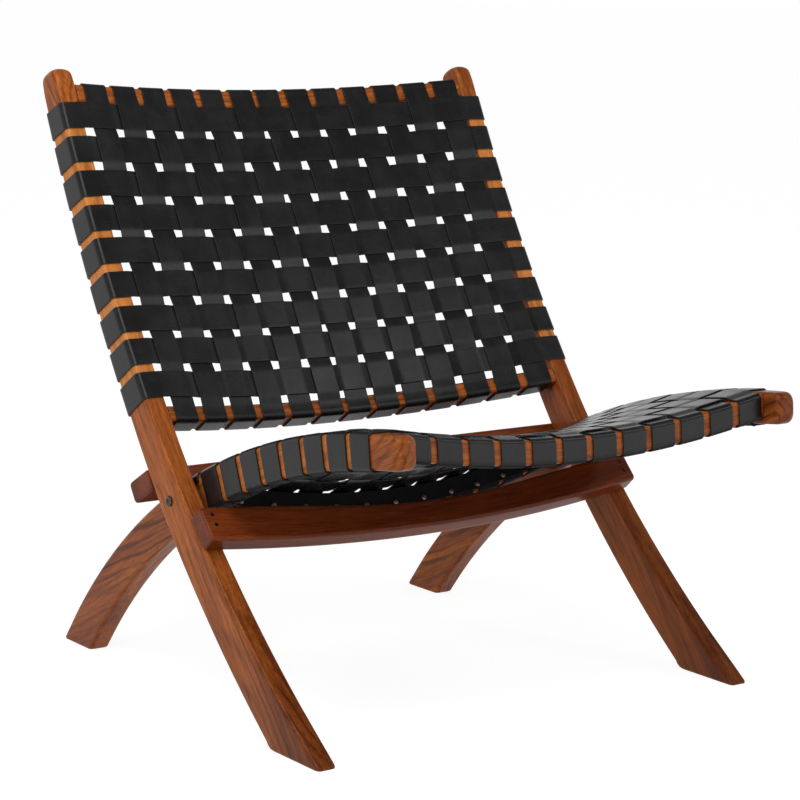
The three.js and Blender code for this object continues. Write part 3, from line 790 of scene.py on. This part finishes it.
def column_strap(panel, column):
    """Strap woven along a panel and wrapped round the rail at each end."""
    line, half = panel.line, panel.half
    x = panel.columns[column]
    share = bow_share(x, half)
    first, last = panel.rails
    left = rail_wrap(first, -1, first.lean * share)
    right = rail_wrap(last, 1, last.lean * share)[::-1]
    levels = [crossing_level(panel, row, column, False) for row in range(len(panel.rows))]
    flats = [(left[-1][0] - STRAP_END_FLAT, left[-1][0], left[-1][1])]
    flats += crossings(panel.rows, levels)
    flats += [(right[0][0], right[0][0] + STRAP_END_FLAT, right[0][1])]
    u = np.linspace(left[-1][0], right[0][0], COLUMN_SECTIONS)[1:-1]
    woven = np.stack([u, eased_levels(u, flats)], 1)
    path = np.concatenate([left, woven, right])

    def to_space(u, across, level):
        own = bow_share(x + across, half)
        near_first = np.interp(u, (first.end, first.end + RAIL_LEAN_REACH), (1, 0))
        place = u + first.lean * (own - share) * near_first
        return line.place(x + across, place, level - panel.bow(u) * own)

    drift = draw.uniform(-1, 1, 4) * COLUMN_DRIFT
    drift[:2] += panel.slips[column], panel.lean
    strap(panel.column_name % (column + 1), path, to_space, -RAIL_DEPTH, panel.body, drift)


def inner_face(rail, sign):
    """Where the strap tails end on a rail's inner face, and the way that face looks along the boards."""
    near = rail.end if sign < 0 else rail.start
    return near - sign * (STRAP_LIFT + STRAP_THICKNESS / 2 + CLEARANCE), -sign


def facing_strip(name, panel, rail, sign, bare):
    """Leather band nailed over the strap tails on a rail's inner face, which stays bare above it."""
    start, way = inner_face(rail, sign)
    low, high = rail.face - RAIL_DEPTH + FACING_FOOT, rail.face - bare
    half = panel.half - FACING_INSET
    flat = rounded_section(0, FACING_THICKNESS, low, high, FACING_EDGE_RADIUS, FACING_FLANK)
    rings, grain = [], []
    for x in np.linspace(-half, half, FACING_SECTIONS):
        share = bow_share(x, panel.half)
        along = start + way * flat[:, 0] + rail.lean * share
        rings.append(panel.line.place(x, along, flat[:, 1] - panel.rail_bow(rail) * share))
        grain.append(np.stack([flat[:, 1], np.full(len(flat), x), flat[:, 0]], 1))
    grain = np.array(grain) + own_stock()
    skin(name, np.array(rings), grain, np.ones(grain.shape[:2]), STRAP_LEATHER, panel.body)


def domes(name, spots, radius, height, material, body):
    """Round nail or screw heads at (point, normal) spots, joined in one piece."""
    angles = np.linspace(0, 2 * math.pi, HEAD_SIDES, endpoint=False)
    profile = [(radius * HEAD_NECK, -HEAD_SINK)]
    for a in np.radians(np.linspace(0, HEAD_TURN, HEAD_RINGS)):
        profile.append((math.cos(a) * radius, math.sin(a) * height))
    points, faces = [], []
    for spot, normal in spots:
        side = np.cross(normal, (1, 0, 0))
        side /= np.linalg.norm(side)
        other = np.cross(normal, side)
        first = len(points)
        for r, h in profile:
            for a in angles:
                points.append(spot + (side * math.cos(a) + other * math.sin(a)) * r + normal * h)
        faces += ring_faces(len(profile), HEAD_SIDES, first)
    points = np.array(points)
    finish_piece(name, points, faces, points + own_stock(), np.zeros(len(points)), material, body)


def facing_nails(name, panel, rail, sign):
    """Domed nails in the gaps between the strap tails."""
    start, way = inner_face(rail, sign)
    along = start + way * FACING_THICKNESS
    spots = []
    for left, right in zip(panel.columns, panel.columns[1:]):
        x = (left + right) / 2
        share = bow_share(x, panel.half)
        level = rail.face - RAIL_DEPTH + NAIL_ABOVE_FOOT - panel.rail_bow(rail) * share
        point = panel.line.place(x, along + rail.lean * share, level)
        spots.append((point, way * panel.line.way(along)))
    domes(name, spots, NAIL_RADIUS, NAIL_HEIGHT, NAIL_BRONZE, panel.body)


def tail_tacks(name, panel):
    """Small tacks through the row strap tails on the undersides of the side boards."""
    spots = []
    for row, along in enumerate(panel.rows):
        if row == panel.flap_row:
            continue
        for sign in (-1, 1):
            for across in (-TACK_SPREAD, TACK_SPREAD):
                place = along + across
                level = -panel.line.depth(place) - STRAP_LIFT - STRAP_SLACK - STRAP_THICKNESS / 2
                x = sign * (panel.half + STRAP_TAIL_INSET + TACK_INSET)
                spots.append((panel.line.place(x, place, level), -panel.line.way(place, math.pi / 2)))
    domes(name, spots, TACK_RADIUS, TACK_HEIGHT, SCREW_BLACK, panel.body)


def stretcher_screws(name, line, alongs, level, x, body):
    """Low dark screw heads in both ends of a stretcher."""
    normal = line.way(sum(alongs) / 2, math.pi / 2)
    spots = [(line.place(sign * x, along, level), normal) for sign in (-1, 1) for along in alongs]
    domes(name, spots, SCREW_RADIUS, SCREW_HEIGHT, SCREW_BLACK, body)


def lathe(name, profile, x_sign, material, body, node, looped=False):
    """Turned hardware on the pivot axis; profile rows: distance out, radius, share of a hexagon."""
    angles = np.linspace(0, 2 * math.pi, LATHE_SIDES, endpoint=False)
    flat = np.mod(angles, math.pi / 3) - math.pi / 6
    hexagon = math.cos(math.pi / 6) / np.cos(flat)
    rings = []
    for x, radius, hexness in profile:
        r = radius * (1 + (hexagon - 1) * hexness)
        y, z = PIVOT_Y + r * np.cos(angles), PIVOT_Z + r * np.sin(angles)
        rings.append(np.stack([np.full(LATHE_SIDES, x_sign * x), y, z], 1))
    rings = np.array(rings)
    grain = rings + own_stock()
    skin(name, rings, grain, np.zeros(grain.shape[:2]), material, body, node, looped)


def bolt_head(base, way):
    """Profile of a button head from its rim to the floor of its hexagon socket."""
    rows = [(0, 5.8, 0), (1.2, 5.8, 0), (1.8, 5.55, 0), (2.2, 5.0, 0), (2.4, 4.1, 0), (2.4, 3.1, 0.4)]
    rows += [(2.3, 2.7, 1), (0.9, 2.6, 1), (0.8, 1.0, 1), (0.75, 0.2, 1)]
    return [(base + way * out * MM, radius * MM, hexness) for out, radius, hexness in rows]


def pivot_hardware(hand, sign):
    """Bolt through the post and the seat side, with a head on each end, and the ring between the two."""
    outside = POST_OUTER_X + CLEARANCE
    inside = SIDE_INNER_X - CLEARANCE
    outer_head = bolt_head(outside, 1)
    inner_head = bolt_head(inside, -1)[::-1]
    shank = [(inside, BOLT_RADIUS, 0), (outside, BOLT_RADIUS, 0)]
    bolt = f"{hand}_pivot_bolt"
    lathe(bolt, inner_head + shank + outer_head, sign, PIVOT_STEEL, "back_frame", bolt)
    x0, x1 = SIDE_OUTER_X + CLEARANCE, POST_INNER_X - CLEARANCE
    bore, rim, ease = SPACER_BORE, SPACER_RADIUS, SPACER_EASE
    profile = [(x0, bore, 0), (x0, rim - ease, 0), (x0 + ease, rim, 0)]
    profile += [(x1 - ease, rim, 0), (x1, rim - ease, 0), (x1, bore, 0)]
    spacer = f"{hand}_pivot_spacer"
    lathe(spacer, profile, sign, PIVOT_STEEL, "back_frame", spacer, True)


def rear_stretcher_start():
    """Distance along the seat sides at which the rear stretcher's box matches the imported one."""
    _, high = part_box("rear_stretcher")
    starts = np.arange(*REAR_STRETCHER_SEARCH)
    misses = []
    for start in starts:
        end = start + REAR_STRETCHER_WIDTH
        flat = rounded_section(start, end, CLEARANCE, REAR_STRETCHER_TOP, EDGE_RADIUS)
        points = seat_side.place(0, flat[:, 0], flat[:, 1])
        misses.append(abs(points[:, 1].max() - high[1]) + abs(points[:, 2].max() - high[2]))
    return starts[np.argmin(misses)]


backs = strap_centres(-top_rail.start + STRAP_TO_RAIL, -bottom_rail.end, BACK_ROW_GAP, False)
back_rows = np.array([-along for along in reversed(backs)]) + BACK_ROW_SLIPS
back_panel = Panel(
    post, POST_INNER_X, POST_OUTER_X, (BACK_BOW_BOTTOM, BACK_BOW_TOP), BACK_BOW_EASING, BACK_RISE,
    back_rows, BACK_COLUMN_GAP, (bottom_rail, top_rail), BACK_SLIPS, "back_frame",
    ("back_cross_strap_%d", "back_upright_strap_%d"),
)
seat_rows = strap_centres(front_rail.end + STRAP_TO_RAIL, rear_rail.start, SEAT_STRAP_GAP, False)
seat_panel = Panel(
    seat_side, SIDE_INNER_X, SIDE_OUTER_X, (SEAT_SAG_FRONT, SEAT_SAG_REAR), 0, SEAT_RISE,
    seat_rows, SEAT_STRAP_GAP, (front_rail, rear_rail), SEAT_SLIPS, "seat_frame",
    ("seat_cross_strap_%d", "seat_long_strap_%d"),
)
seat_panel.flap_row = len(seat_rows) - 1
seat_panel.turned_tails = True

for hand, sign in (("left", -1), ("right", 1)):
    for kind, line, end, inner, outer, painted_light_and_shade, body in (
        ("post", post, POST_TOP, POST_INNER_X, POST_OUTER_X, POST_PAINTED_LIGHT_AND_SHADE, "back_frame"),
        ("seat_side", seat_side, SIDE_TIP, SIDE_INNER_X, SIDE_OUTER_X, SIDE_PAINTED_LIGHT_AND_SHADE, "seat_frame"),
    ):
        x0, x1 = sorted((sign * inner, sign * outer))
        frame_board(f"{hand}_{kind}", line, end, x0, x1, painted_light_and_shade, body)
    pivot_hardware(hand, sign)

for name, panel, rail, sign, bare in (
    ("back_bottom", back_panel, bottom_rail, -1, 9 * MM),
    ("back_top", back_panel, top_rail, 1, 9 * MM),
    ("seat_front", seat_panel, front_rail, -1, 4 * MM),
    ("seat_rear", seat_panel, rear_rail, 1, 1 * MM),
):
    cross_board(
        f"{name}_rail", panel.line, panel.half - CLEARANCE, rail.start, rail.end,
        rail.face - RAIL_DEPTH, rail.face, (rail.lean, -panel.rail_bow(rail)), RAIL_END_RADIUS,
        FRAME_TEAK, panel.body,
    )
    facing_strip(f"{name}_facing", panel, rail, sign, bare)
    facing_nails(f"{name}_nails", panel, rail, sign)


def front_stretcher_edges(x):
    """Offsets of the stretcher's lower and upper edge: wider ends, and a hollow that is deepest midway."""
    share = bow_share(x, POST_OUTER_X)
    bell = (1 + math.cos(math.pi * x / POST_OUTER_X)) / 2
    wider = FRONT_STRETCHER_FLARE * (1 - share)
    lower = FRONT_STRETCHER_TILT * x / POST_OUTER_X - LOWER_FLARE_SHARE * wider
    upper = wider + UPPER_BELL_SHARE * FRONT_STRETCHER_BOW * (bell - share) - FRONT_STRETCHER_DIP * bell
    return lower, upper


cross_board(
    "front_stretcher", post, POST_OUTER_X, FRONT_STRETCHER_FOOT, FRONT_STRETCHER_TOP,
    CLEARANCE, FRONT_STRETCHER_FACE, (FRONT_STRETCHER_BOW, 0), STRETCHER_END_RADIUS,
    STRETCHER_TEAK, "back_frame", front_stretcher_edges,
)
front_screws = [FRONT_STRETCHER_TOP - drop for drop in FRONT_SCREW_DROPS]
stretcher_screws(
    "front_stretcher_screws", post, front_screws, FRONT_STRETCHER_FACE, FRONT_SCREW_X, "back_frame",
)

rear_front = rear_stretcher_start()
rear_back = rear_front + REAR_STRETCHER_WIDTH
cross_board(
    "rear_stretcher", seat_side, POST_OUTER_X, rear_front, rear_back,
    CLEARANCE, REAR_STRETCHER_TOP, (0, 0), STRETCHER_END_RADIUS,
    STRETCHER_TEAK, "seat_frame",
)
rear_screws = [rear_front + reach for reach in REAR_SCREW_REACHES]
stretcher_screws(
    "rear_stretcher_screws", seat_side, rear_screws, REAR_STRETCHER_TOP, REAR_SCREW_X, "seat_frame",
)

for panel in (back_panel, seat_panel):
    for row in range(len(panel.rows)):
        row_strap(panel, row)
    for column in range(len(panel.columns)):
        column_strap(panel, column)
tail_tacks("back_tacks", back_panel)
tail_tacks("seat_tacks", seat_panel)


def floor():
    """White paper sweep: plain white to the camera and in reflections, with the chair's soft shadow."""
    material, s = new_material("floor_paper")
    speck = s.noise(s.add("TexCoord").outputs["Object"], (35, 35, 35), 3)
    plain = s.add("BsdfDiffuse", Color=s.ramp(speck, (0.0, 0.78), (1.0, 0.82)))
    shade = s.add("BsdfDiffuse", Color=(FLOOR_SHADE, FLOOR_SHADE, FLOOR_SHADE, 1))
    glow = s.add("Emission", Color=(1, 1, 1, 1), Strength=FLOOR_GLOW)
    both = s.fed("AddShader", {}, shade.outputs[0], glow.outputs[0])
    s.output("OutputMaterial", s.fed("MixShader", {}, s.seen(), plain.outputs[0], both))
    corners = [(FLOOR_REACH * x, FLOOR_REACH * y, 0) for x, y in ((-1, -1), (1, -1), (1, 1), (-1, 1))]
    mesh = bpy.data.meshes.new("floor")
    mesh.from_pydata(corners, [], [(0, 1, 2, 3)])
    mesh.materials.append(material)
    plane = bpy.data.objects.new("floor", mesh)
    plane.location.z = -FLOOR_DROP
    bpy.context.scene.collection.objects.link(plane)


def world():
    """White backdrop all round, under a dark ceiling."""
    sky = bpy.data.worlds.new("studio")
    sky.use_nodes = True
    s = Nodes(sky.node_tree)
    height = s.add("SeparateXYZ", Vector=s.add("TexCoord").outputs["Generated"]).outputs["Z"]
    room = s.ramp(height, (0.0, 1.0), (0.24, 1.0), (0.48, 0.4), (0.62, 0.28), (1.0, 0.15))
    s.output("OutputWorld", s.add("Background", Color=room, Strength=1.0).outputs[0])
    bpy.context.scene.world = sky


def aim(thing, spot, ahead, roll=0.0):
    """Stand a lamp or camera at a spot, looking along a direction, turned about it by roll."""
    ahead = np.array(ahead, float) / np.linalg.norm(ahead)
    right = np.cross(ahead, (0, 0, 1))
    right /= np.linalg.norm(right)
    up = np.cross(right, ahead)
    across = math.cos(roll) * right + math.sin(roll) * up
    above = -math.sin(roll) * right + math.cos(roll) * up
    columns = np.stack([across, above, -ahead, np.array(spot, float)], axis=1)
    thing.matrix_world = Matrix([*columns.tolist(), (0, 0, 0, 1)])


def softbox(name, spot, target, size, power):
    """Broad lamp at a spot, facing a target; its power is in watts."""
    light = bpy.data.lights.new(name, "AREA")
    light.shape = "RECTANGLE"
    light.size, light.size_y = size
    light.energy = power
    lamp = bpy.data.objects.new(name, light)
    bpy.context.scene.collection.objects.link(lamp)
    aim(lamp, spot, np.subtract(target, spot))


def photo_camera():
    """Camera that looks down on the chair from the left front."""
    camera = bpy.data.cameras.new("photo_camera")
    camera.sensor_width = SENSOR_WIDTH
    camera.lens = SENSOR_WIDTH * FOCAL_PIXELS / IMAGE_PIXELS
    camera.shift_y = 0.05
    eye = bpy.data.objects.new("photo_camera", camera)
    bpy.context.scene.collection.objects.link(eye)
    yaw, pitch, roll = 0.63741717, 0.18682016, 0.02146375
    ahead = (math.sin(yaw) * math.cos(pitch), math.cos(yaw) * math.cos(pitch), -math.sin(pitch))
    aim(eye, (-1.65252, PIVOT_Y - 2.24355, 0.79249), ahead, roll)
    bpy.context.scene.camera = eye


floor()
world()
softbox("key", (-0.75, -0.85, 2.1), (0, 0, 0.35), (1.2, 1.2), 20)
softbox("side", (-2.4, -0.6, 0.95), (0, 0, 0.3), (1.2, 1.2), 10)
softbox("fill", (1.7, -2.3, 0.5), (0, 0, 0.3), (1.0, 0.8), 2.5)
softbox("sheen", (1.2, -1.15, 1.5), (0.15, 0.15, 0.35), (0.5, 0.5), 2.5)
photo_camera()
bpy.context.scene.view_settings.view_transform = "Standard"
